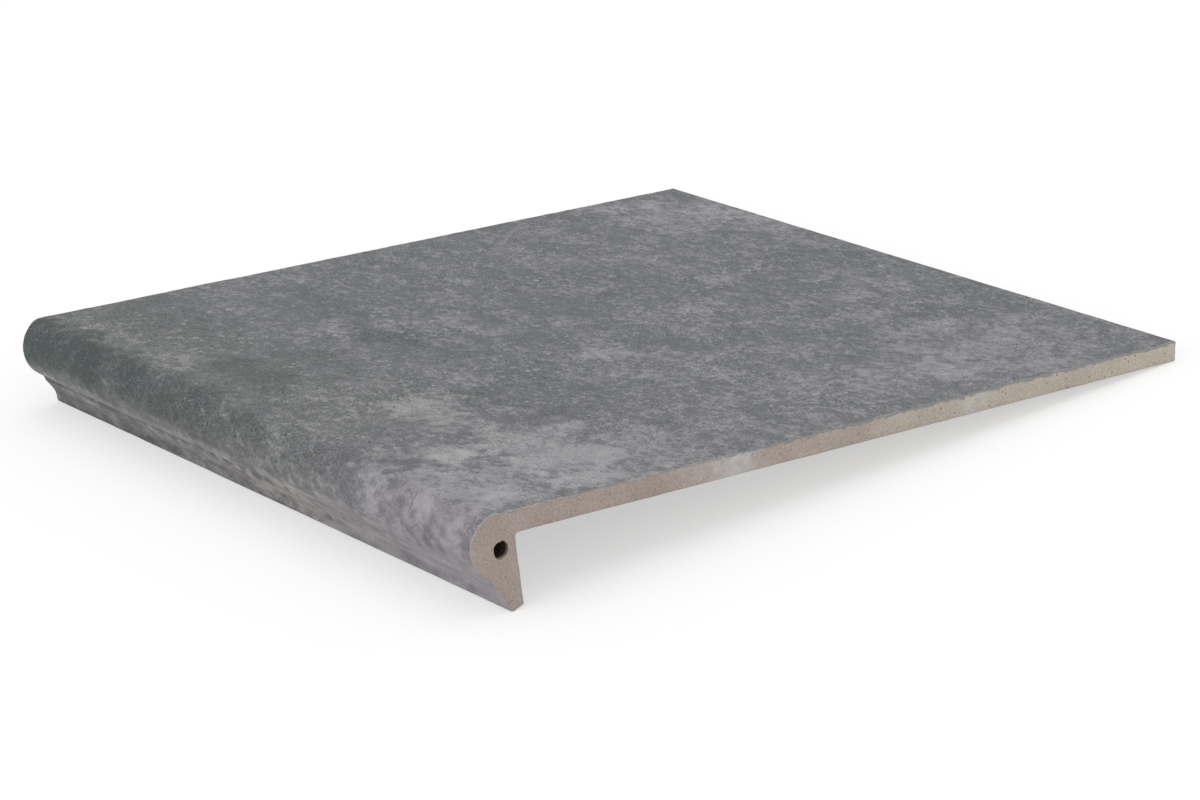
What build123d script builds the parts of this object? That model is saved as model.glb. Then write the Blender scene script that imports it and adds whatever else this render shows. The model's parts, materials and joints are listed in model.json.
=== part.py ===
from build123d import *
from math import acos, asin, atan2, cos, degrees, radians, sin
import os

# Stair tread tile: one piece of extruded stoneware, glazed over its top and down its nosing.
# The clay leaves the die as one section: a flat slab whose front edge is a moulded nosing.
# From the top down, the nosing is a bullnose, a quirk, a cove and a drip lip with a rounded foot.
# A pin in the die leaves a core bore along the thick nosing, so that it dries and fires evenly.
# Lengths are in millimetres and angles in degrees.

# Tread
TREAD_LENGTH = 330.0  # along the nosing, where the extrusion is cut off
TREAD_DEPTH = 345.0  # from the front of the bullnose to the back edge
SLAB_THICKNESS = 8.5

# Bullnose
NOSE_RADIUS = 14.0
NOSE_CROWN = 2.0  # how much of the round the flat top takes off
SHOULDER_RADIUS = 6.0  # eases the flat top into the round
NOSE_WRAP = 55.0  # how far the round goes on below the level of its own axis
NOSE_UNDERSIDE = 3.4  # straight run under the round, back to the quirk

# Quirk and cove
QUIRK_HEIGHT = 2.0
QUIRK_SETBACK = 0.9
COVE_SLOPE = 51.0  # of the straight upper part of the cove, from the level
COVE_FALL = 4.8  # length of that straight part
COVE_RADIUS = 8.0

# Drip lip
LIP_DRAFT = 9.5  # how far its front face is off the upright
LIP_FACE = 1.9  # straight strip between the cove and the foot
FOOT_RADIUS = 1.5
FOOT_BEVEL = 20.0  # its underside rises to the back, so that water drips off at the front
LIP_THICKNESS = 6.4  # from front to back, at the bottom of the cove
LIP_LEAN = 6.6  # how far its back face is off the upright, out at the bottom

# Core bore
BORE_DIAMETER = 6.5
BORE_DROP = 13.5  # from the flat top to the bore's axis
BORE_WALL = 3.5  # clay between the bore and the lip's back face

# Rounded corners of the section
QUIRK_RADIUS = 0.6  # inside corner under the bullnose
ARRIS_RADIUS = 0.5  # outside corner between quirk and cove
HEEL_RADIUS = 0.6  # back of the drip lip's foot
ROOT_RADIUS = 1.5  # inside corner between lip and slab
BACK_EDGE_RADIUS = 0.8  # both corners of the slab's back edge
CUT_EDGE_BEVEL = 0.4  # worn edge round both cut ends


def toward(angle):
    """The direction at an angle above the level line that runs to the back of the tread."""
    return Vector(cos(radians(angle)), sin(radians(angle)))


def level(drop):
    """The level line at a drop below the flat top."""
    return Axis((0, -drop), (1, 0))


# Angle through which the shoulder turns before it meets the larger round of the nose
shoulder_turn = degrees(acos(1 - NOSE_CROWN / (NOSE_RADIUS - SHOULDER_RADIUS)))
shoulder_start = NOSE_RADIUS - (NOSE_RADIUS - SHOULDER_RADIUS) * sin(radians(shoulder_turn))

# Section of the level tread: distance behind the front of the nose, and height above the flat top
with BuildSketch(Plane.YZ) as section:
    with BuildLine():
        top = Line((TREAD_DEPTH, 0), (shoulder_start, 0))
        shoulder = JernArc(top @ 1, top % 1, SHOULDER_RADIUS, shoulder_turn)
        nose = JernArc(shoulder @ 1, shoulder % 1, NOSE_RADIUS, 90 - shoulder_turn + NOSE_WRAP)
        under_nose = Line(nose @ 1, nose @ 1 + nose % 1 * NOSE_UNDERSIDE)
        quirk = Line(under_nose @ 1, under_nose @ 1 + Vector(QUIRK_SETBACK, -QUIRK_HEIGHT))
        slope = Line(quirk @ 1, quirk @ 1 + toward(-COVE_SLOPE) * COVE_FALL)
        cove = JernArc(slope @ 1, slope % 1, COVE_RADIUS, COVE_SLOPE + LIP_DRAFT - 90)
        lip_face = Line(cove @ 1, cove @ 1 + cove % 1 * LIP_FACE)
        foot = JernArc(lip_face @ 1, lip_face % 1, FOOT_RADIUS, 90 - LIP_DRAFT + FOOT_BEVEL)

        # The lip's back face crosses the foot's bevel at the heel and the slab's underside at the root
        lip_back = Axis(cove @ 1 + Vector(LIP_THICKNESS, 0), toward(LIP_LEAN - 90))
        heel = lip_back.intersect(Axis(foot @ 1, foot % 1))
        root = lip_back.intersect(level(SLAB_THICKNESS))
        back_bottom = Vector(TREAD_DEPTH, -SLAB_THICKNESS)
        Polyline(foot @ 1, heel, root, back_bottom, top @ 0)
    make_face()

    rounded = {
        QUIRK_RADIUS: [under_nose @ 1],
        ARRIS_RADIUS: [quirk @ 1],
        HEEL_RADIUS: [heel],
        ROOT_RADIUS: [root],
        BACK_EDGE_RADIUS: [back_bottom, top @ 0],
    }
    for radius, corners in rounded.items():
        for corner in corners:
            fillet(section.vertices().sort_by_distance(corner)[0], radius)

    bore_radius = BORE_DIAMETER / 2
    bore_setback = (BORE_WALL + bore_radius) / cos(radians(LIP_LEAN))
    with Locations(lip_back.intersect(level(BORE_DROP)) - Vector(bore_setback, 0)):
        Circle(bore_radius, mode=Mode.SUBTRACT)

# The cut length, with its two worn ends
with BuildPart() as tread:
    extrude(section.sketch, amount=TREAD_LENGTH / 2, both=True)
    cut_ends = tread.faces().filter_by(Axis.X)
    chamfer([edge for end in cut_ends for edge in end.outer_wire().edges()], CUT_EDGE_BEVEL)

# Unheld on a floor, the tile lies on its foot and on the bottom corner of its back edge
back_corner = Vector(TREAD_DEPTH - BACK_EDGE_RADIUS, BACK_EDGE_RADIUS - SLAB_THICKNESS)
span = back_corner - foot.arc_center
rest_tilt = degrees(atan2(span.Y, span.X) + asin((FOOT_RADIUS - BACK_EDGE_RADIUS) / span.length))
lying = Rotation(-rest_tilt, 0, 0) * tread.part
box = lying.bounding_box()
stair_tread_tile = Pos(-box.center().X, -box.center().Y, -box.min.Z) * lying

os.makedirs("parts", exist_ok=True)
export_step(stair_tread_tile, "parts/stair_tread_tile.step")
print(f"rest tilt {rest_tilt:.3f} degrees, volume {stair_tread_tile.volume / 1000:.1f} cm3")
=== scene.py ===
import json
from functools import partial
from math import acos, atan2, cos, radians, sin, tan

import bpy
import numpy as np
from mathutils import Matrix, Vector
from mathutils.geometry import delaunay_2d_cdt


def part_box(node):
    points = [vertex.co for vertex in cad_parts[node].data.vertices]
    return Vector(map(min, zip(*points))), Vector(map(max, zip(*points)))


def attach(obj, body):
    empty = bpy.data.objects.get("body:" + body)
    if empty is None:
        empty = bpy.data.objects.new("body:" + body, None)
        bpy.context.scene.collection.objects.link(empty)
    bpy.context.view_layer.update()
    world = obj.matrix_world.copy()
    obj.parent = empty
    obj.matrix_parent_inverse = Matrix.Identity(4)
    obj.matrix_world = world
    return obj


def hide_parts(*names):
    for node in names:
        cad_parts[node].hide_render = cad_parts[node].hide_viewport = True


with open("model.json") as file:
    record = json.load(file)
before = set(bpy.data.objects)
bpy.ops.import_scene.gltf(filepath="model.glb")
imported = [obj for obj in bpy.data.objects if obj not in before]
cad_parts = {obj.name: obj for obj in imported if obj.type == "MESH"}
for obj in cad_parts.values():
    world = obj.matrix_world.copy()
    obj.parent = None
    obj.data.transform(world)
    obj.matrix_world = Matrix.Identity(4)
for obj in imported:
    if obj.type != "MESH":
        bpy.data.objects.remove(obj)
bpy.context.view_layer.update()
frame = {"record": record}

# Stair tread tile, one piece of extruded stoneware: matt glaze over the top and down the nosing, and
# bare fired body on the cut ends, the back edge, the underside and the back of the drip lip.
# The section's sizes are in millimetres and its angles in degrees, as on a level tread.
MM = 0.001
TREAD_DEPTH = 345.0
SLAB_THICKNESS = 8.5
NOSE_RADIUS = 14.0
NOSE_CROWN = 2.0
SHOULDER_RADIUS = 6.0
NOSE_WRAP = 55.0
NOSE_UNDERSIDE = 3.4
QUIRK_HEIGHT = 2.0
QUIRK_SETBACK = 0.9
COVE_SLOPE = 51.0
COVE_FALL = 4.8
COVE_RADIUS = 8.0
LIP_DRAFT = 9.5
LIP_FACE = 1.9
FOOT_RADIUS = 1.5
FOOT_BEVEL = 20.0
LIP_THICKNESS = 6.4
LIP_LEAN = 6.6
BORE_DIAMETER = 6.5
BORE_DROP = 13.5
BORE_WALL = 3.5
QUIRK_RADIUS = 0.6
ARRIS_RADIUS = 0.5
HEEL_RADIUS = 0.6
ROOT_RADIUS = 1.5
BACK_EDGE_RADIUS = 0.8

# Where the glaze stops before the cut ends. It stops further from the right one, down the front
BARE_MARGIN_TOP = 0.35
BARE_MARGIN_NOSE = 2.3
BARE_MARGIN_LIP = 1.7

# How far below the top the cut glaze's edge shows on the cut ends, at most
CUT_GLAZE_DROP = 1.2

# Unevenness of the skin, as (wavelength, height), and how far it lies below the true section
SKIN_WAVES = ((60.0, 0.03), (14.0, 0.02), (6.0, 0.012))
SKIN_SINK = 0.03
SKIN_DEEPEST = 0.12

# Worn bevel round the cut ends: its usual, least and greatest width, and how deep its chips go
BEVEL_WIDTH = 0.3
BEVEL_LEAST = 0.15
BEVEL_MOST = 0.5
CHIP_DEPTH = 0.5

# How far the skin may be pushed in at the section's tight corners, and elsewhere
PUSH_AT_CORNERS = 0.38
PUSH_ELSEWHERE = 1.4

# Distance before the cut ends of the rows of points down the bevel, and of the first row past it, and how
# many rows there are from that one to the other end's
BEVEL_ROWS = (0.0, 0.18, 0.42, 0.75)
FIRST_BODY_ROW = 1.2
BODY_ROWS = 200

# The camera of the photo, in millimetres from the middle of the level tread: along it, behind it, above it
CAMERA_PLACE = (1231.5, -906.3, 446.8)
CAMERA_AIM = (79.4, -57.0, 0.0)
CAMERA_ROLL = -1.1
CAMERA_LENS = 116.34
SENSOR_WIDTH = 36.0

# The tile's own directions, which lie at a slope because it rests on its lip and its back edge
mounts = {mount["name"]: mount for mount in frame["record"]["mounts"]}
tread_centre = np.array(mounts["tread_face"]["pos_m"])
tread_up = np.array(mounts["tread_face"]["axis"])
tread_along = np.array([1.0, 0.0, 0.0])
tread_back = np.cross(tread_up, tread_along)
half_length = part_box("stair_tread_tile")[1][0] / MM


def toward(angle):
    """The direction at an angle above the level line that runs to the back of the tread."""
    return np.array([cos(radians(angle)), sin(radians(angle))])


def crossing(a, angle_a, b, angle_b):
    """The point where the line through a at one angle crosses the line through b at another."""
    da, db = toward(angle_a), toward(angle_b)
    reach = np.linalg.solve(np.array([da, -db]).T, b - a)
    return a + da * reach[0]


def tangent_length(radius, turn):
    """How far a rounding of some radius reaches from its corner, where the outline turns by an angle."""
    return radius * tan(radians(abs(turn)) / 2)


# The flat top ends where the shoulder's arc starts, and that arc turns until it meets the larger round
shoulder_turn = np.degrees(acos(1 - NOSE_CROWN / (NOSE_RADIUS - SHOULDER_RADIUS)))
shoulder_start = NOSE_RADIUS - (NOSE_RADIUS - SHOULDER_RADIUS) * sin(radians(shoulder_turn))
flat_middle = (shoulder_start + TREAD_DEPTH - BACK_EDGE_RADIUS) / 2


def section_corners():
    """The section as sharp corners, each with the radius that rounds it, from the back of the top round to
    the back of the underside. Each corner is the one before plus a run in the outline's next direction."""
    shoulder = np.array([shoulder_start - tangent_length(SHOULDER_RADIUS, shoulder_turn), 0.0])
    nose_turn = 90 - shoulder_turn + NOSE_WRAP
    reach = tangent_length(SHOULDER_RADIUS, shoulder_turn) + tangent_length(NOSE_RADIUS, nose_turn)
    nose = shoulder + toward(180 + shoulder_turn) * reach
    reach = tangent_length(NOSE_RADIUS, nose_turn) + NOSE_UNDERSIDE
    quirk = nose + toward(180 + shoulder_turn + nose_turn) * reach
    arris = quirk + np.array([QUIRK_SETBACK, -QUIRK_HEIGHT])
    cove_turn = 90 - COVE_SLOPE - LIP_DRAFT
    cove_reach = tangent_length(COVE_RADIUS, cove_turn)
    cove = arris + toward(-COVE_SLOPE) * (COVE_FALL + cove_reach)
    lip_direction = toward(LIP_DRAFT - 90)
    foot_reach = tangent_length(FOOT_RADIUS, 90 - LIP_DRAFT + FOOT_BEVEL)
    foot = cove + lip_direction * (cove_reach + LIP_FACE + foot_reach)
    lip_back = cove + lip_direction * cove_reach + np.array([LIP_THICKNESS, 0.0])
    heel = crossing(foot, FOOT_BEVEL, lip_back, LIP_LEAN - 90)
    root = crossing(np.array([0.0, -SLAB_THICKNESS]), 0.0, lip_back, LIP_LEAN - 90)
    level = crossing(np.array([0.0, -BORE_DROP]), 0.0, lip_back, LIP_LEAN - 90)
    bore = level - np.array([(BORE_WALL + BORE_DIAMETER / 2) / cos(radians(LIP_LEAN)), 0.0])
    corners = [
        ((TREAD_DEPTH, 0.0), BACK_EDGE_RADIUS, 4),
        (shoulder, SHOULDER_RADIUS, 7),
        (nose, NOSE_RADIUS, 34),
        (quirk, QUIRK_RADIUS, 3),
        (arris, ARRIS_RADIUS, 3),
        (cove, COVE_RADIUS, 6),
        (foot, FOOT_RADIUS, 7),
        (heel, HEEL_RADIUS, 4),
        (root, ROOT_RADIUS, 6),
        ((TREAD_DEPTH, -SLAB_THICKNESS), BACK_EDGE_RADIUS, 4),
    ]
    return corners, bore


# Corners by their place in that order. A point on the straight run past a corner has its number and a half
BACK_TOP, QUIRK, ARRIS, FOOT, HEEL, BACK_BOTTOM = 0, 3, 4, 6, 7, 9

# Longest step along each straight run of the section, in the order of the corners that start them
RUN_STEPS = (1.9, 1.0, 1.0, 0.8, 0.9, 0.8, 0.9, 3.0, 5.5, 1.5)


def rounded_outline(corners):
    """The closed outline of a polygon with rounded corners, as points in order. Each arc starts a tangent
    length before its corner and turns about a centre one radius to the side; straight runs join the arcs.
    Also gives which corner each point belongs to."""
    points = [np.asarray(corner[0], float) for corner in corners]
    count = len(points)
    ways = [points[(i + 1) % count] - points[i] for i in range(count)]
    ways = [way / np.linalg.norm(way) for way in ways]
    arcs = []
    for i, (corner, radius, steps) in enumerate(corners):
        before, after = ways[i - 1], ways[i]
        turn = atan2(before[0] * after[1] - before[1] * after[0], before @ after)
        side = np.array([-before[1], before[0]]) * np.sign(turn)
        start = points[i] - before * radius * tan(abs(turn) / 2)
        swept = np.linspace(0, abs(turn), steps + 1)[:, None]
        arcs.append(start + side * radius * (1 - np.cos(swept)) + before * radius * np.sin(swept))
    outline, owner = [], []
    for i, arc in enumerate(arcs):
        ahead = arcs[(i + 1) % count][0]
        gap = np.linalg.norm(ahead - arc[-1])
        parts = max(1, round(gap / RUN_STEPS[i]))
        share = np.arange(1, parts)[:, None] / parts
        run = arc[-1] + (ahead - arc[-1]) * share
        outline += [arc, run]
        owner += [np.full(len(arc), i), np.full(len(run), i + 0.5)]
    outline, owner = np.concatenate(outline), np.concatenate(owner)

    # Where one arc runs straight into the next, their shared point is kept once
    apart = np.linalg.norm(outline - np.roll(outline, 1, axis=0), axis=1) > 0.01
    return outline[apart], owner[apart]


def ripple(points, wavelength, seed, waves=28):
    """A smooth random field of about unit spread: the sum of plane waves of nearly one length that run in
    random directions with random phases, taken at each point."""
    rng = np.random.default_rng(seed)
    ways = rng.normal(size=(waves, points.shape[-1]))
    ways /= np.linalg.norm(ways, axis=1, keepdims=True)
    lengths = wavelength * rng.uniform(0.7, 1.4, size=(waves, 1))
    phases = rng.uniform(0, 2 * np.pi, size=waves)
    field = np.cos(points @ (ways * 2 * np.pi / lengths).T + phases).sum(axis=-1)
    return field * np.sqrt(2 / waves)


def placed(along, behind, above):
    """Tile millimetres to metres in the shared frame: along the nosing, behind its front, above its top."""
    place = tread_centre + MM * (np.asarray(along)[..., None] * tread_along
                                 + (np.asarray(behind)[..., None] - flat_middle) * tread_back
                                 + np.asarray(above)[..., None] * tread_up)
    return place


# Where the sprayed wash turns smooth, from the back edge over the top and down the nosing, and how slowly
UNDER_NOSE = 355.0
UNDER_NOSE_FADE = 2.5

# Clouds that the eye picks out, as (along, down, half length, half width, tone) in millimetres. Most are the
# glaze's own; the last three, pale under the nose and down the drip lip, are partly painted light from the
# floor below. They are placed from the left end and from the back edge, down over the top and the nosing.
# Pale ones have a tone above 0 and dark ones below it.
CLOUDS_AND_PAINTED_LIGHT = (
    (310, 190, 80, 240, 0.3),
    (42, 28, 22, 30, 0.75),
    (13, 34, 12, 9, 0.65),
    (62, 5, 16, 6, 0.6),
    (190, 42, 26, 13, 0.5),
    (225, 72, 14, 10, 0.1),
    (290, 60, 36, 36, 0.4),
    (300, 118, 26, 30, 0.35),
    (213, 42, 28, 7, -0.35),
    (168, 110, 16, 12, 0.35),
    (90, 90, 26, 16, 0.35),
    (197, 184, 12, 9, 0.9),
    (148, 172, 12, 6, 0.3),
    (32, 206, 44, 22, 0.1),
    (130, 204, 18, 7, 0.5),
    (240, 246, 46, 32, -0.35),
    (115, 240, 16, 10, -0.85),
    (50, 228, 26, 8, -0.3),
    (90, 257, 12, 9, 0.55),
    (35, 262, 16, 9, 0.3),
    (185, 250, 14, 6, 0.5),
    (290, 235, 20, 5, 0.55),
    (300, 250, 30, 10, 0.5),
    (212, 282, 17, 15, 1.15),
    (240, 276, 8, 7, 0.3),
    (284, 278, 34, 20, 1.05),
    (318, 284, 22, 18, 0.25),
    (258, 308, 16, 10, 0.65),
    (227, 309, 20, 13, -0.1),
    (300, 308, 30, 12, 0.7),
    (90, 12, 30, 14, 0.5),
    (265, 12, 28, 12, -0.2),
    (140, 282, 26, 12, -0.2),
    (128, 312, 24, 12, -0.8),
    (45, 298, 42, 20, -0.35),
    (88, 318, 14, 8, 0.25),
    (60, 329, 34, 7, 0.4),
    (200, 322, 14, 18, 0.3),
    (290, 333, 36, 14, 0.85),
    (238, 345, 15, 9, -0.5),
    (88, 347, 104, 12, -0.7),
    (60, 347, 90, 12, -0.7),
    (22, 347, 46, 12, -1.15),
    # Partly painted light from the floor below: these three pale clouds under the nose and down the drip lip
    (80, 365, 90, 8, 0.85),
    (95, 378, 110, 11, 0.4),
    (266, 374, 96, 23, 1.0),
)

# Dark veins near the right end, each from one such place to another, as (along, down, along, down, half
# width, tone)
VEINS = (
    (247, 338, 262, 324, 1.6, -0.9),
    (262, 324, 288, 313, 1.4, -1.1),
    (285, 302, 294, 297, 1.0, -0.8),
    (302, 304, 328, 305, 4.5, -0.7),
)


def glaze_and_painted_light_tone(along, down):
    """The sum of soft round-edged patches: each adds its tone times a step down at its outline, which is
    an ellipse made uneven by ripples of 25 and 8 millimetres. Veins add theirs by their distance from a
    line that the ripples bend."""
    flat = np.stack([along, down], axis=-1)
    uneven = 0.20 * ripple(flat, 25.0, 31) + 0.18 * ripple(flat, 8.0, 32)
    tone = np.zeros(along.shape)
    for x, y, end_x, end_y, half_width, strength in VEINS:
        run = np.array([end_x - x, end_y - y])
        share = np.clip((flat - (x, y)) @ run / (run @ run), 0, 1)
        near = np.linalg.norm(flat - (x, y) - share[..., None] * run, axis=-1) + 3 * uneven
        tone += strength * np.exp(-((near / half_width) ** 2))
    for x, y, half_x, half_y, strength in CLOUDS_AND_PAINTED_LIGHT:
        far = np.hypot((along - x) / half_x, (down - y) / half_y) + uneven
        tone += strength / (1 + np.exp((far - 1.0) * 6.0))
    return tone


# Bands that follow the moulding, as (how far down from the quirk, half width, tone at the left end, tone at
# the right end). They are partly the glaze's own tone and partly painted light and shade: the pale bands
# under the nose and down the cove are painted light from the floor below, and the dark band at the quirk is
# painted shade there as well as glaze pooled in that corner.
GLAZE_AND_LIGHT_BANDS = (
    (-22.0, 5.0, 0.0, -0.25),
    (-14.0, 3.5, 0.1, -0.35),
    (-4.5, 4.0, 0.25, 0.25),
    (0.0, 1.5, -1.3, 0.2),
    (5.3, 2.8, 0.0, 0.55),
    (11.5, 3.0, -0.5, 0.25),
)


def bands_with_painted_light(along, below):
    """The sum of the bands, some of them painted light and shade: bells across the moulding whose height
    changes evenly from end to end.
    """
    share = along / (2 * half_length)
    tone = np.zeros(along.shape)
    for place, half_width, left, right in GLAZE_AND_LIGHT_BANDS:
        tone += (left + (right - left) * share) * np.exp(-(((below - place) / half_width) ** 2))
    return tone


# Pale smears of slip on the right cut end, as (behind the nose's front, half length, strength)
SMEARS = ((235, 7, 0.8), (120, 9, 1.15), (104, 14, 0.35), (20, 5, 0.2))


def smear_strength(behind, above):
    """How strongly slip is smeared on a cut end: bells along it, broken by ripples of 6 millimetres."""
    spot = np.stack([behind, above], axis=-1)
    strength = np.zeros(behind.shape)
    for place, reach, share in SMEARS:
        strength += share * np.exp(-((behind - place) / reach) ** 2)
    return strength * (1 + 0.25 * ripple(spot, 6.0, 33))


def tile_surface(outline, owner):
    """The section carried along the nosing. The first parameter runs from the left end to the right one and
    the second round the outline. Points are pushed in along the outline's normal by a shallow relief, and
    the last rows at both ends step further in, down a worn bevel whose width wanders along the edge. Its
    depth is how far a point lies inside that width, to the power of 1.5, over the width's root."""
    chord = np.roll(outline, -1, axis=0) - np.roll(outline, 1, axis=0)
    chord /= np.linalg.norm(chord, axis=1, keepdims=True)
    normal = np.stack([chord[:, 1], -chord[:, 0]], axis=1)

    # Rows along the nosing: an even grid between the bevels, and close rows down each bevel
    bevel_rows = np.array(BEVEL_ROWS)
    body_rows = np.linspace(FIRST_BODY_ROW - half_length, half_length - FIRST_BODY_ROW, BODY_ROWS)
    rows = np.concatenate([bevel_rows - half_length, body_rows, (half_length - bevel_rows)[::-1]])

    along, behind = np.meshgrid(rows, outline[:, 0], indexing="ij")
    above = np.broadcast_to(outline[:, 1], along.shape)
    spot = np.stack([along, behind, above], axis=-1)
    relief = np.full(along.shape, -SKIN_SINK)
    for seed, (wavelength, height) in enumerate(SKIN_WAVES, 1):
        relief += height * ripple(spot, wavelength, seed)
    relief = np.clip(relief, -SKIN_DEEPEST, 0)

    gap = half_length - np.abs(along)
    worn = BEVEL_WIDTH + 0.08 * ripple(spot, 9.0, 4) + 0.07 * ripple(spot, 3.5, 5)
    worn = np.clip(worn, BEVEL_LEAST, BEVEL_MOST)
    chips = CHIP_DEPTH * np.clip(ripple(spot, 5.0, 6) - 1.9, 0, 1)
    width = worn + chips
    bevel = np.clip(width - gap, 0, None) ** 1.5 / np.sqrt(width)
    tight = np.isin(owner, (BACK_TOP, QUIRK, QUIRK + 0.5, ARRIS, HEEL, BACK_BOTTOM))
    pushed = np.maximum(relief - bevel, np.where(tight, -PUSH_AT_CORNERS, -PUSH_ELSEWHERE))
    return along, behind + normal[:, 0] * pushed, above + normal[:, 1] * pushed


def bore_surface(bore, sides=40):
    """The core bore: a ring of points carried along the nosing. Its radius wanders by a few hundredths of
    a millimetre, and opens a little at both mouths, where the cutting wire tore the clay."""
    inner_rows = (half_length - 1.5) * np.sin(np.linspace(-np.pi / 2, np.pi / 2, 30))
    mouth_rows = np.array([0.0, 0.3, 0.7])
    rows = np.concatenate([mouth_rows - half_length, inner_rows, (half_length - mouth_rows)[::-1]])
    along, angle = np.meshgrid(rows, np.arange(sides) * 2 * np.pi / sides, indexing="ij")
    mouth = np.exp((np.abs(along) - half_length) / 0.5)
    ring = np.stack([along * 0.1, 4 * np.cos(angle), 4 * np.sin(angle)], axis=-1)
    torn = mouth * (0.05 + 0.12 * ripple(ring, 3.0, 12))
    radius = BORE_DIAMETER / 2 + 0.06 * ripple(ring, 4.0, 11) + torn
    return along, bore[0] + radius * np.cos(angle), bore[1] + radius * np.sin(angle)


def within(points, ring):
    """Whether each point lies inside a closed ring, by counting the sides that a level ray crosses."""
    ahead = np.roll(ring, -1, axis=0)
    x, y = points[:, :1], points[:, 1:]
    spans = (ring[:, 1] > y) != (ahead[:, 1] > y)
    rise = np.where(ahead[:, 1] == ring[:, 1], 1.0, ahead[:, 1] - ring[:, 1])
    reach = ring[:, 0] + (y - ring[:, 1]) * (ahead[:, 0] - ring[:, 0]) / rise
    return (spans & (x < reach)).sum(axis=1) % 2 == 1


def cut_end(outer, mouth, seed, spacing=1.6):
    """A flat cut end: loose points on a shaken grid between the outline's ring and the bore's mouth, with
    triangles over all three. Gives the loose points and the triangles, which turn anticlockwise."""
    rng = np.random.default_rng(seed)
    low, high = outer.min(axis=0), outer.max(axis=0)
    steps_behind = np.arange(low[0], high[0], spacing)
    steps_above = np.arange(low[1], high[1], spacing)
    grid = np.stack(np.meshgrid(steps_behind, steps_above), axis=-1)
    loose = grid.reshape(-1, 2) + rng.uniform(-0.3, 0.3, size=(grid.size // 2, 2)) * spacing
    margin = 0.5 * spacing
    for step in ((margin, 0), (-margin, 0), (0, margin), (0, -margin)):
        loose = loose[within(loose + np.array(step), outer)]
        loose = loose[~within(loose + np.array(step), mouth)]
    points = np.concatenate([outer, mouth, loose])
    sides = [(i, (i + 1) % len(outer)) for i in range(len(outer))]
    sides += [(len(outer) + i, len(outer) + (i + 1) % len(mouth)) for i in range(len(mouth))]
    flat = [Vector(point) for point in points.tolist()]
    triangles = np.array(delaunay_2d_cdt(flat, sides, [], 0, 1e-7)[2])
    middle = points[triangles].mean(axis=1)
    return loose, triangles[within(middle, outer) & ~within(middle, mouth)]


def grid_faces(rows, columns, start=0):
    """Quads of a grid whose columns close into a ring, as four shifted copies of its index array."""
    index = start + np.arange(rows * columns).reshape(rows, columns)
    ahead = np.roll(index, -1, axis=1)
    return np.stack([index[:-1], ahead[:-1], ahead[1:], index[1:]], axis=-1).reshape(-1, 4)


def glaze_reach(outline, owner, along, inside):
    """How far inside the glaze's edge each point of the skin lies, in millimetres: the smaller of the
    distance to a cut end, less its bare margin, and the distance round the outline. The left end has the
    top's margin. The right end's is widest round the front of the nose, 9 to 19 millimetres down."""
    front = outline[:, 0] < NOSE_RADIUS
    round_nose = np.clip(1.6 - 1.6 * np.abs(outline[:, 1] + NOSE_RADIUS) / NOSE_RADIUS, 0, 1)
    margin = BARE_MARGIN_TOP + (BARE_MARGIN_NOSE - BARE_MARGIN_TOP) * round_nose * front
    lip = (owner >= QUIRK) & (owner < HEEL)
    margin = np.where(lip, np.maximum(margin, BARE_MARGIN_LIP), margin)
    margin = np.where(along > 0, margin, BARE_MARGIN_TOP)
    return np.minimum(half_length - np.abs(along) - margin, inside)


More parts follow.
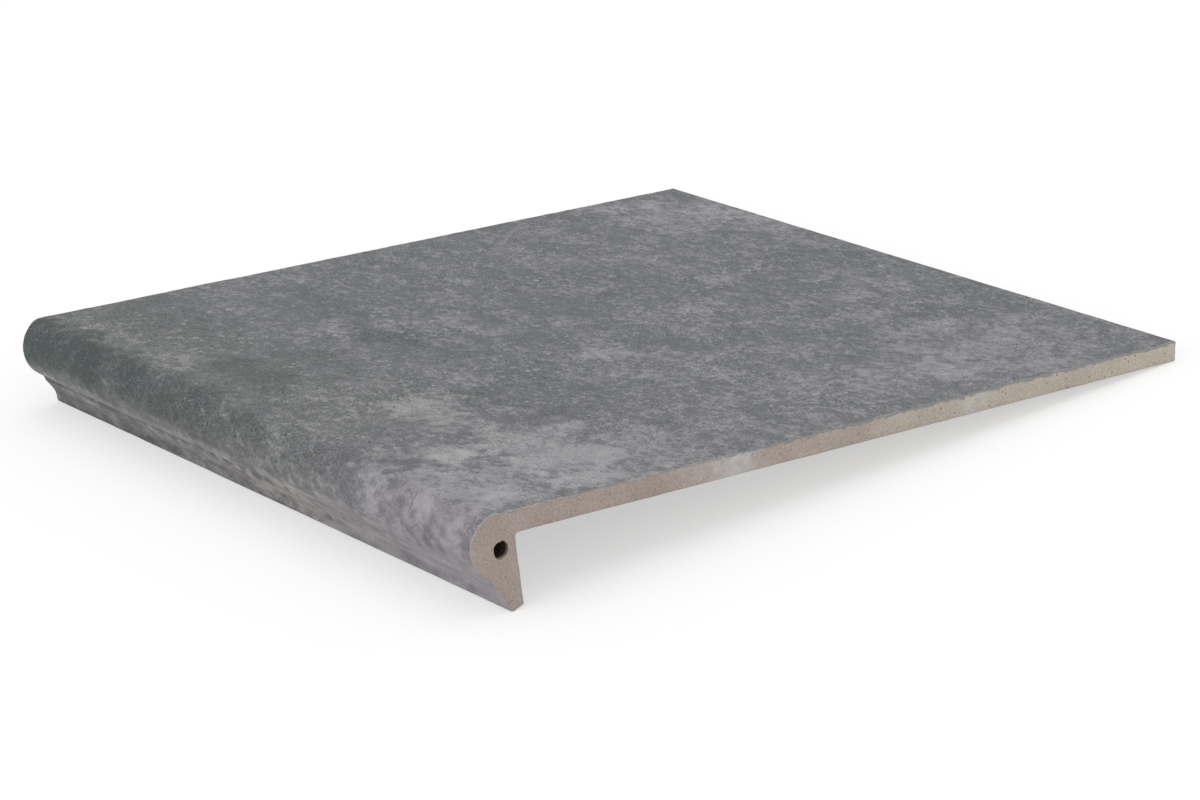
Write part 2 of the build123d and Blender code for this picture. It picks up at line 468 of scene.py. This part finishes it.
def build_tile():
    """The whole tile as one closed mesh: skin, bore and the two cut ends. Its faces have three finishes, and
    its points carry what the materials read: the glaze's reach, tone and cut edge, whether they lie under
    the nose, the smears of slip, and the depth in the bore."""
    corners, bore = section_corners()
    outline, owner = rounded_outline(corners)
    along, behind, above = tile_surface(outline, owner)
    b_along, b_behind, b_above = bore_surface(bore)
    rows, columns = along.shape
    b_rows, b_columns = b_along.shape

    points = [placed(along, behind, above).reshape(-1, 3), placed(b_along, b_behind, b_above).reshape(-1, 3)]
    smears = [np.zeros(along.size), np.zeros(b_along.size)]
    count = along.size + b_along.size

    # The cut glaze's edge is whole along the back half, and half as strong at the front
    cut_edge = (above > -CUT_GLAZE_DROP) * np.clip((behind - 7) / 150, 0.5, 1.0)
    skin = grid_faces(rows, columns)
    tube = grid_faces(b_rows, b_columns, along.size)[:, ::-1]
    ends = []
    for row, side, seed in ((0, -1, 41), (-1, 1, 42)):
        outer = np.stack([behind[row], above[row]], axis=1)
        mouth = np.stack([b_behind[row], b_above[row]], axis=1)
        loose, fill = cut_end(outer, mouth, seed)
        dents = 0.05 * np.minimum(ripple(loose, 7.0, seed) + 0.6 * ripple(loose, 3.0, seed + 2) - 1.2, 0)
        points.append(placed(side * (half_length + dents), loose[:, 0], loose[:, 1]))
        ring_index = np.arange(along.size).reshape(rows, columns)[row]
        mouth_index = along.size + np.arange(b_along.size).reshape(b_rows, b_columns)[row]
        index = np.concatenate([ring_index, mouth_index, count + np.arange(len(loose))])
        ends.append(index[fill][:, ::side])
        count += len(loose)
        smears.append(smear_strength(*loose.T) * (side > 0))
        if side > 0:
            smears[0][ring_index] = smear_strength(*outer.T)
            smears[1][mouth_index - along.size] = smear_strength(*mouth.T)

    faces = [*skin.tolist(), *tube.tolist(), *ends[0].tolist(), *ends[1].tolist()]
    mesh = bpy.data.meshes.new("stair_tread_tile_fired")
    mesh.from_pydata(np.concatenate(points), [], faces)

    # The glaze covers the outline from the top's back corner to the drip lip's foot
    steps = np.linalg.norm(np.roll(outline, -1, axis=0) - outline, axis=1)
    walk = np.concatenate([[0.0], np.cumsum(steps)[:-1]])
    glazed = (owner <= FOOT) & (walk > 0.3)
    inside = np.minimum(walk - walk[glazed][0], walk[glazed][-1] - walk) + 0.4
    reach = glaze_reach(outline, owner, along, inside)
    walks = np.broadcast_to(walk, along.shape)
    quirk = walk[(owner == QUIRK) | (owner == ARRIS)].mean()
    # The glaze's tone from its clouds and the moulding's bands, some of it painted light and shade
    tone = glaze_and_painted_light_tone(along + half_length, walks) + bands_with_painted_light(along + half_length, walks - quirk)
    under = 1 / (1 + np.exp((UNDER_NOSE - walks) / UNDER_NOSE_FADE))
    bare = np.zeros(count - along.size)
    # Depth into the bore from its nearer mouth, which the bore wall's painted shade reads
    depth = np.zeros(count)
    depth[along.size: along.size + b_along.size] = (half_length - np.abs(b_along)).ravel()
    marks = {
        "glaze_reach_mm": np.concatenate([reach.ravel(), bare - 5.0]),
        "glaze_and_painted_light_tone": np.concatenate([tone.ravel(), bare]),
        "under_nose": np.concatenate([under.ravel(), bare]),
        "slip_smear": np.concatenate(smears),
        "core_depth_mm": depth,
        "cut_glaze_edge": np.concatenate([cut_edge.ravel(), bare]),
    }
    for name, values in marks.items():
        mesh.attributes.new(name, "FLOAT", "POINT").data.foreach_set("value", values.astype(np.float32))

    skin_finish = np.where(glazed & np.roll(glazed, -1), 0, 1)
    finish = np.ones(len(faces), dtype=np.int32)
    finish[: len(skin)] = np.tile(skin_finish, rows - 1)
    # The bore's faces take the third material, whose darkness is painted shade
    finish[len(skin): len(skin) + len(tube)] = 2
    mesh.polygons.foreach_set("material_index", finish)
    mesh.update()
    return mesh


def linear(code):
    """An sRGB hex colour as linear light: each channel c becomes ((c + 0.055) / 1.055) ** 2.4, or c / 12.92
    where it is dark."""
    channels = np.array([int(code[i:i + 2], 16) for i in (0, 2, 4)]) / 255
    light = np.where(channels <= 0.04045, channels / 12.92, ((channels + 0.055) / 1.055) ** 2.4)
    return (*light.tolist(), 1.0)


# Settings of a map range that eases from 0 to 1, and of a mix that lays a second colour over a first one
EASED = {"interpolation_type": "SMOOTHSTEP"}
OVER = {"output": 2, "data_type": "RGBA"}


def add(tree, kind, inputs=None, output=0, stops=(), **settings):
    """Adds a shader node and gives one of its outputs. Settings go on the node, and each input takes a value
    or another node's output. Stops are the (position, hex colour) pairs of a colour ramp, in order."""
    node = tree.nodes.new("ShaderNode" + kind)
    for name, value in settings.items():
        setattr(node, name, value)
    for name, value in (inputs or {}).items():
        socket = node.inputs[name]
        if isinstance(value, bpy.types.NodeSocket):
            tree.links.new(value, socket)
        else:
            socket.default_value = value
    if stops:
        marks = node.color_ramp.elements
        for position, code in stops[1:-1]:
            marks.new(position)
        for mark, (position, code) in zip(marks, stops):
            mark.position = position
            mark.color = linear(code)
    return node.outputs[output] if node.outputs else node


def new_material(name):
    """An empty node material, what adds nodes to it, and the Object coordinates that its patterns read."""
    material = bpy.data.materials.new(name)
    material.use_nodes = True
    material.node_tree.nodes.clear()
    node = partial(add, material.node_tree)
    return material, node, node("TexCoord", output="Object")


def per_metre(size_mm):
    """A pattern's scale in metres from the real size of its grains, in millimetres."""
    return 1.0 / (size_mm * MM)


def centred(node, value, share, base):
    """A base plus a share of how far a noise is from its middle, 0.5."""
    off_middle = node("Math", {0: value, 1: 0.5}, operation="SUBTRACT")
    return node("Math", {0: off_middle, 1: share, 2: base}, operation="MULTIPLY_ADD")


def shaken_place(node, place, size_mm, reach_mm):
    """Places moved about by a noise of one size, up to half this reach to each side, so that round patterns
    become uneven."""
    inputs = {"Vector": place, "Scale": per_metre(size_mm), "Detail": 1.0}
    shift = node("TexNoise", inputs, output="Color")
    return node("VectorMath", {0: shift, 1: (reach_mm * MM,) * 3, 2: place}, operation="MULTIPLY_ADD")


def specks(node, place, spacing_mm, size_mm, kept):
    """Small round specks, one to a cell of this spacing, in the share of the cells that is kept."""
    distance = node("TexVoronoi", {"Vector": place, "Scale": per_metre(spacing_mm)}, output="Distance")
    size = size_mm / spacing_mm
    dots = node("MapRange", {"Value": distance, "From Min": size, "From Max": 0.4 * size}, **EASED)
    chance = node("SeparateColor", {"Color": distance.node.outputs["Color"]}, output="Red")
    chosen = node("Math", {0: chance, 1: kept}, operation="LESS_THAN")
    return node("Math", {0: dots, 1: chosen}, operation="MULTIPLY")


def body_colour(node, place):
    """The fired clay's own colour: warm grey-beige, yellower to the back of the tile and pinker at the
    nosing, with sandy grain of 1 mm, small iron specks and pale smears of slip."""
    grain = node("TexNoise", {"Vector": place, "Scale": per_metre(1.0), "Detail": 4.0, "Roughness": 0.75})
    patches = node("TexNoise", {"Vector": place, "Scale": per_metre(22.0), "Detail": 3.0, "Roughness": 0.6})
    tone = centred(node, grain, 1.2, centred(node, patches, 0.4, 0.5))
    pinker = node("ValToRGB", {"Fac": tone}, stops=((0.0, "726761"), (0.5, "988B83"), (1.0, "B9AEA7")))
    yellower = node("ValToRGB", {"Fac": tone}, stops=((0.0, "857D71"), (0.5, "ADA598"), (1.0, "D0C9BE")))
    behind = centred(node, patches, 0.12, node("SeparateXYZ", {"Vector": place}, output="Y"))
    back = node("MapRange", {"Value": behind, "From Min": -0.15, "From Max": 0.17}, **EASED)
    colour = node("Mix", {0: back, 6: pinker, 7: yellower}, **OVER)

    strength = node("Math", {0: back, 1: 0.4, 2: 0.35}, operation="MULTIPLY_ADD")
    iron = node("Math", {0: specks(node, place, 2.7, 0.6, 0.4), 1: strength}, operation="MULTIPLY")
    colour = node("Mix", {0: iron, 6: colour, 7: linear("5B4E48")}, **OVER)
    smear = node("Attribute", output="Fac", attribute_name="slip_smear")
    slip = node("Math", {0: smear, 1: centred(node, grain, 1.2, 0.55)}, operation="MULTIPLY")
    return node("Mix", {0: slip, 6: colour, 7: linear("B9B6B6")}, **OVER), grain


def cut_glaze(node, place, body):
    """The body's colour with the glaze's thin grey edge over it, ragged, where the mesh carries it."""
    edge = node("Attribute", output="Fac", attribute_name="cut_glaze_edge")
    uneven = node("TexNoise", {"Vector": place, "Scale": per_metre(2.6), "Detail": 2.0, "Roughness": 0.5})
    ragged = centred(node, uneven, 0.7, edge)
    share = node("MapRange", {"Value": ragged, "From Min": 0.38, "From Max": 0.78, "To Max": 0.8}, **EASED)
    return node("Mix", {0: share, 6: body, 7: linear("7A7C7D")}, **OVER)


def finish_shader(node, colour, roughness, specular, height, depth_mm):
    """The surface shader, with a fine bump whose height is a real depth in millimetres."""
    bump = node("Bump", {"Height": height, "Strength": 0.6, "Distance": depth_mm * MM}, output="Normal")
    inputs = {"Base Color": colour, "Roughness": roughness, "IOR": 1.5, "Specular IOR Level": specular,
              "Normal": bump}
    node("OutputMaterial", {"Surface": node("BsdfPrincipled", inputs)})


def worn_mottling(node, place):
    """Mottling of 3 mm in blotches of 11 mm, both drawn out a little along the nosing."""
    longer = node("VectorMath", {0: place, 1: (1 / 1.6, 1, 1)}, operation="MULTIPLY")
    inputs = {"Vector": longer, "Scale": per_metre(11.0), "Detail": 2.0, "Roughness": 0.6, "Distortion": 0.8}
    blotch = node("TexNoise", inputs)
    longer = node("VectorMath", {0: place, 1: (1 / 1.35, 1, 1)}, operation="MULTIPLY")
    inputs = {"Vector": longer, "Scale": per_metre(3.0), "Detail": 6.0, "Roughness": 0.76, "Distortion": 0.5}
    return centred(node, blotch, 0.4, node("TexNoise", inputs))


def glaze_tone(node, place, cloud, under, crisp, drift, grain):
    """How pale the glaze is: mottling and grain as strong as they are crisp, then clouds, then the pale wash
    where mottling that clouds and drift lift passes a threshold, then drift, and streaks under the nose."""
    worn = worn_mottling(node, place)
    lift = node("Math", {0: cloud, 1: -0.8}, operation="MAXIMUM")
    lift = node("Math", {0: lift, 1: 0.12, 2: centred(node, drift, 0.16, worn)}, operation="MULTIPLY_ADD")
    wash = node("MapRange", {"Value": lift, "From Min": 0.44, "From Max": 0.68}, **EASED)
    dry = centred(node, worn, 0.42, centred(node, grain, 1.5, 0.0))
    tone = node("Math", {0: dry, 1: crisp, 2: 0.32}, operation="MULTIPLY_ADD")
    tone = node("Math", {0: cloud, 1: 0.145, 2: tone}, operation="MULTIPLY_ADD")
    tone = node("Math", {0: wash, 1: 0.26, 2: tone}, operation="MULTIPLY_ADD")
    tone = centred(node, drift, 0.19, tone)
    longer = node("VectorMath", {0: place, 1: (1 / 8.0, 1, 1)}, operation="MULTIPLY")
    streaks = node("TexNoise", {"Vector": longer, "Scale": per_metre(3.0), "Detail": 3.0, "Roughness": 0.6})
    return node("Math", {0: centred(node, streaks, 0.8, 0.03), 1: under, 2: tone}, operation="MULTIPLY_ADD")


def tint_glaze(node, colour, cloud, under, nosing, right, along, behind):
    """Faint tints: the darkest glaze a shade greener, beige to the front and most of all under the nose, and
    mauve to the right end of the nosing. The first three are multiplied in, so that darks stay dark."""
    green = node("MapRange", {"Value": cloud, "From Min": -0.8, "From Max": -2.0}, **EASED)
    fore = node("MapRange", {"Value": behind, "From Min": 0.0, "From Max": -0.15}, **EASED)
    left = node("Math", {0: 1.0, 1: right}, operation="SUBTRACT")
    middle = node("MapRange", {"Value": along, "From Min": -0.16, "From Max": 0.0}, **EASED)
    middle = node("Math", {0: middle, 1: under}, operation="MULTIPLY")
    beige = node("Math", {0: fore, 1: left}, operation="MULTIPLY")
    warm = node("Math", {0: middle, 1: left}, operation="MULTIPLY")
    for share, code in ((green, "F7FFFF"), (beige, "FFFFFC"), (warm, "FFFAF8")):
        colour = node("Mix", {0: share, 6: colour, 7: linear(code)}, blend_type="MULTIPLY", **OVER)
    mauve = node("Math", {0: fore, 1: 0.25}, operation="MULTIPLY")
    mauve = node("Math", {0: nosing, 1: mauve}, operation="MAXIMUM")
    mauve = node("Math", {0: mauve, 1: right}, operation="MULTIPLY")
    mauve = node("Math", {0: mauve, 1: 0.36}, operation="MULTIPLY")
    return node("Mix", {0: mauve, 6: colour, 7: linear("92838D")}, **OVER)


def pale_dabs(node, place, strength):
    """The share of small pale dabs of the wash, of 1 and 2 mm, each uneven."""
    shaken = shaken_place(node, place, 1.6, 1.2)
    small = node("Math", {0: specks(node, shaken, 4.4, 0.9, 0.45), 1: 0.5}, operation="MULTIPLY")
    large = node("Math", {0: specks(node, shaken, 7.0, 1.9, 0.4), 1: 0.3}, operation="MULTIPLY")
    dabs = node("Math", {0: small, 1: large}, operation="MAXIMUM")
    return node("Math", {0: dabs, 1: strength}, operation="MULTIPLY")


def painted_dent_shade(node, place, along, behind):
    """The share of curled dark marks, painted shade for the shaded edges of small dents: lines along which a
    bent noise crosses its middle, kept where another noise is high. They lie thickest on the round of the
    nose near the right end."""
    inputs = {"Vector": place, "Scale": per_metre(10.0), "Detail": 1.0, "Roughness": 0.5, "Distortion": 1.5}
    off_middle = node("Math", {0: node("TexNoise", inputs), 1: 0.5}, operation="SUBTRACT")
    off_middle = node("Math", {0: off_middle}, operation="ABSOLUTE")
    line = node("MapRange", {"Value": off_middle, "From Min": 0.06, "From Max": 0.02}, **EASED)
    right = node("MapRange", {"Value": along, "From Min": 0.03, "From Max": 0.12}, **EASED)
    front = node("MapRange", {"Value": behind, "From Min": -0.13, "From Max": -0.155}, **EASED)
    thick = node("Math", {0: right, 1: front}, operation="MULTIPLY")
    chance = node("TexNoise", {"Vector": place, "Scale": per_metre(8.0), "Detail": 1.0, "Roughness": 0.5})
    chance = node("Math", {0: thick, 1: 0.06, 2: chance}, operation="MULTIPLY_ADD")
    kept = node("MapRange", {"Value": chance, "From Min": 0.68, "From Max": 0.74, "To Max": 0.4}, **EASED)
    return node("Math", {0: line, 1: kept}, operation="MULTIPLY")


def matt_glaze():
    """Matt cement-look stoneware glaze, a dark coat with a thin pale wash broken over it, then fired. The
    eye gets clouds of 10 to 60 mm whose edges and insides break up into worn mottling of 2 to 6 mm, dry
    grain under 1 mm, pale dabs, curled dark marks, and a ragged edge that bares the body at the cut ends.
    The curled marks are painted shade for small dents, a pale line inside the edge is a painted highlight,
    and some clouds and bands on the nosing are painted light and shade."""
    material, node, place = new_material("matt_cement_glaze")
    # The glaze's tone, with some painted light and shade in it under the nose and at the quirk
    cloud = node("Attribute", output="Fac", attribute_name="glaze_and_painted_light_tone")
    under = node("Attribute", output="Fac", attribute_name="under_nose")
    reach = node("Attribute", output="Fac", attribute_name="glaze_reach_mm")
    along = node("SeparateXYZ", {"Vector": place}, output="X")
    behind = node("SeparateXYZ", {"Vector": place}, output="Y")
    inputs = {"Vector": place, "Scale": per_metre(34.0), "Detail": 4.0, "Roughness": 0.6, "Distortion": 0.5}
    drift = node("TexNoise", inputs)
    grain = node("TexNoise", {"Vector": place, "Scale": per_metre(0.9), "Detail": 3.0, "Roughness": 0.7})

    # Where the surface is the flat top, the nosing, and the nosing's right end
    flat = node("MapRange", {"Value": behind, "From Min": -0.170, "From Max": -0.150}, **EASED)
    round_front = node("Math", {0: flat, 1: -0.6, 2: 0.6}, operation="MULTIPLY_ADD")
    nosing = node("Math", {0: under, 1: round_front}, operation="MAXIMUM")
    right = node("MapRange", {"Value": along, "From Min": 0.03, "From Max": 0.14}, **EASED)
    right_nosing = node("Math", {0: nosing, 1: right}, operation="MULTIPLY")

    # The mottling is crisp in patches of 40 mm, and calmer in pale clouds, under the nose and at its right
    patches = node("TexNoise", {"Vector": place, "Scale": per_metre(40.0), "Detail": 2.0, "Roughness": 0.5})
    crisp = centred(node, patches, 1.6, 1.0)
    pale = node("Math", {0: cloud, 1: 0.0}, operation="MAXIMUM")
    for calmer, share in ((pale, -0.2), (under, -0.55), (right_nosing, -0.5)):
        crisp = node("Math", {0: calmer, 1: share, 2: crisp}, operation="MULTIPLY_ADD")

    tone = glaze_tone(node, place, cloud, under, crisp, drift, grain)
    greys = ((0.0, "464A4A"), (0.25, "5F6163"), (0.5, "77787B"), (0.75, "919193"), (1.0, "AFAEAF"))
    colour = node("ValToRGB", {"Fac": tone}, stops=greys)
    dabs = pale_dabs(node, place, node("Math", {0: crisp, 1: flat}, operation="MULTIPLY"))
    colour = node("Mix", {0: dabs, 6: colour, 7: linear("B2B2B3")}, **OVER)
    colour = tint_glaze(node, colour, cloud, under, nosing, right, along, behind)
    marks = painted_dent_shade(node, place, along, behind)
    # Painted shade: the curled marks laid on in dark grey
    colour = node("Mix", {0: marks, 6: colour, 7: linear("474B4C")}, **OVER)

    # The edge: full glaze half a millimetre in, with a thin pale line just inside it in places, a painted
    # highlight along the edge
    uneven = node("TexNoise", {"Vector": place, "Scale": per_metre(2.2), "Detail": 3.0, "Roughness": 0.7})
    ragged = centred(node, uneven, 1.8, reach)
    edge_highlight = node("MapRange", {"Value": ragged, "From Min": 0.5, "From Max": 0.2}, **EASED)
    some = node("MapRange", {"Value": drift, "From Min": 0.48, "From Max": 0.56, "To Max": 0.6}, **EASED)
    edge_highlight = node("Math", {0: edge_highlight, 1: some}, operation="MULTIPLY")
    colour = node("Mix", {0: edge_highlight, 6: colour, 7: linear("C4BFBC")}, **OVER)
    cover = node("MapRange", {"Value": ragged, "From Min": -0.12, "From Max": 0.12}, **EASED)
    bare = cut_glaze(node, place, body_colour(node, place)[0])
    colour = node("Mix", {0: cover, 6: bare, 7: colour}, **OVER)
    roughness = node("Math", {0: cover, 1: -0.2, 2: 0.88}, operation="MULTIPLY_ADD")
    finish_shader(node, colour, roughness, 0.22, grain, 0.10)
    return material


def fired_body():
    """Bare fired stoneware, cut with a wire and dry. The eye gets a warm grey-beige with no sheen, sandy
    to the touch, with iron specks, a few pale smears, and the glaze's thin grey edge along the top."""
    material, node, place = new_material("fired_stoneware_body")
    colour, grain = body_colour(node, place)
    finish_shader(node, cut_glaze(node, place, colour), 0.88, 0.3, grain, 0.15)
    return material


def bore_wall_painted_shade():
    """The core bore's wall: the body's colour at the mouths, turning dark a couple of millimetres in, as
    painted shade for the unlit depth of the bore. The eye gets a dark hole.
    """
    material, node, place = new_material("bore_wall_painted_shade")
    grain = node("TexNoise", {"Vector": place, "Scale": per_metre(1.5), "Detail": 4.0, "Roughness": 0.7})
    # Painted shade: a near-black wall colour that takes over with depth into the bore
    dark = node("ValToRGB", {"Fac": grain}, stops=((0.3, "2A2220"), (0.7, "4A3D38")))
    depth = node("Attribute", output="Fac", attribute_name="core_depth_mm")
    deep = node("MapRange", {"Value": depth, "From Min": 0.1, "From Max": 2.4}, **EASED)
    colour = node("Mix", {0: deep, 6: body_colour(node, place)[0], 7: dark}, **OVER)
    finish_shader(node, colour, 0.92, 0.2, grain, 0.2)
    return material


def seamless_white():
    """White backdrop paper: what the camera sees is about half its own light, so it stays white and keeps
    a soft shadow, while the tile is lit by the plain paper alone."""
    material, node, place = new_material("white_backdrop_paper")
    paper = node("BsdfDiffuse", {"Color": linear("F7F7F7")})
    shown = node("BsdfDiffuse", {"Color": linear("BCBCBC")})
    glow = node("Emission", {"Strength": 0.52})
    shown = node("AddShader", {0: shown, 1: glow})
    camera_ray = node("LightPath", output="Is Camera Ray")
    node("OutputMaterial", {"Surface": node("MixShader", {"Fac": camera_ray, 1: paper, 2: shown})})
    return material


def build_floor():
    """A flat disc of backdrop paper, level with what the tile lies on: rings of points about the centre."""
    radius = np.array([0.0, 1.0, 4.0, 9.0])
    angle = np.arange(64) * 2 * np.pi / 64
    reach, turn = np.meshgrid(radius[1:], angle, indexing="ij")
    ring = np.stack([reach * np.cos(turn), reach * np.sin(turn), np.zeros(reach.shape)], axis=-1)
    points = np.concatenate([[[0.0, 0.0, 0.0]], ring.reshape(-1, 3)])
    index = 1 + np.arange(64)
    fan = np.stack([np.zeros(64, int), index, np.roll(index, -1)], axis=1)
    faces = fan.tolist() + grid_faces(3, 64, 1)[:, ::-1].tolist()
    mesh = bpy.data.meshes.new("backdrop_floor")
    mesh.from_pydata(points, [], faces)
    return mesh


def put(name, mesh, *materials):
    """Links a mesh into the scene as an object at the origin, with its materials."""
    piece = bpy.data.objects.new(name, mesh)
    bpy.context.scene.collection.objects.link(piece)
    for material in materials:
        mesh.materials.append(material)
    return piece


def light_studio():
    """Plain white surroundings and three very soft lamps, from the front, the side and overhead, at a level
    where colours keep the values they are written in. The world is white to the camera and in reflections,
    and plainer as a light."""
    world = bpy.data.worlds.new("studio")
    bpy.context.scene.world = world
    world.use_nodes = True
    world.node_tree.nodes.clear()
    node = partial(add, world.node_tree)
    seen = node("LightPath", output="Is Camera Ray")
    for kind in ("Is Glossy Ray", "Is Transmission Ray"):
        seen = node("Math", {0: seen, 1: node("LightPath", output=kind)}, operation="MAXIMUM")
    white = node("Background", {"Color": linear("FFFFFF"), "Strength": 1.0})
    plain = node("Background", {"Color": linear("FFFFFF"), "Strength": 0.75})
    node("OutputWorld", {"Surface": node("MixShader", {"Fac": seen, 1: plain, 2: white})})

    lamps = (
        ("front_lamp", 0.9, (-0.1, -1.0, 0.12)),
        ("side_lamp", 0.8, (1.0, -0.2, 0.2)),
        ("overhead_lamp", 0.4, (0.0, 0.2, 1.0)),
    )
    for name, strength, way in lamps:
        lamp = bpy.data.lights.new(name, "SUN")
        lamp.energy = strength
        lamp.angle = radians(60)
        holder = bpy.data.objects.new(name, lamp)
        holder.rotation_euler = Vector(way).to_track_quat("Z", "Y").to_euler()
        bpy.context.scene.collection.objects.link(holder)


def set_camera():
    """The photo's camera, worked out on the level tread and then laid at the tile's slope."""
    place, aim = Vector(CAMERA_PLACE) * MM, Vector(CAMERA_AIM) * MM
    backward = (place - aim).normalized()
    right = Vector((0, 0, 1)).cross(backward).normalized()
    turn = Matrix((right, backward.cross(right), backward)).transposed()
    turn = turn @ Matrix.Rotation(radians(CAMERA_ROLL), 3, "Z")
    slope = Matrix((tread_along, tread_back, tread_up)).transposed()
    camera = bpy.data.cameras.new("photo_camera")
    camera.lens = CAMERA_LENS
    camera.sensor_width = SENSOR_WIDTH
    camera.sensor_fit = "HORIZONTAL"
    camera.clip_end = 50.0
    holder = bpy.data.objects.new("photo_camera", camera)
    holder.matrix_world = Matrix.Translation(Vector(tread_centre) + slope @ place) @ (slope @ turn).to_4x4()
    bpy.context.scene.collection.objects.link(holder)
    bpy.context.scene.camera = holder


set_camera()
light_studio()
floor = put("backdrop_floor", build_floor(), seamless_white())

tile = put("stair_tread_tile_fired", build_tile(), matt_glaze(), fired_body(), bore_wall_painted_shade())
tile.data.shade_smooth()
tile.data.set_sharp_from_angle(angle=radians(50))
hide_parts("stair_tread_tile")
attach(tile, "root")

bpy.context.scene.view_settings.view_transform = "Standard"
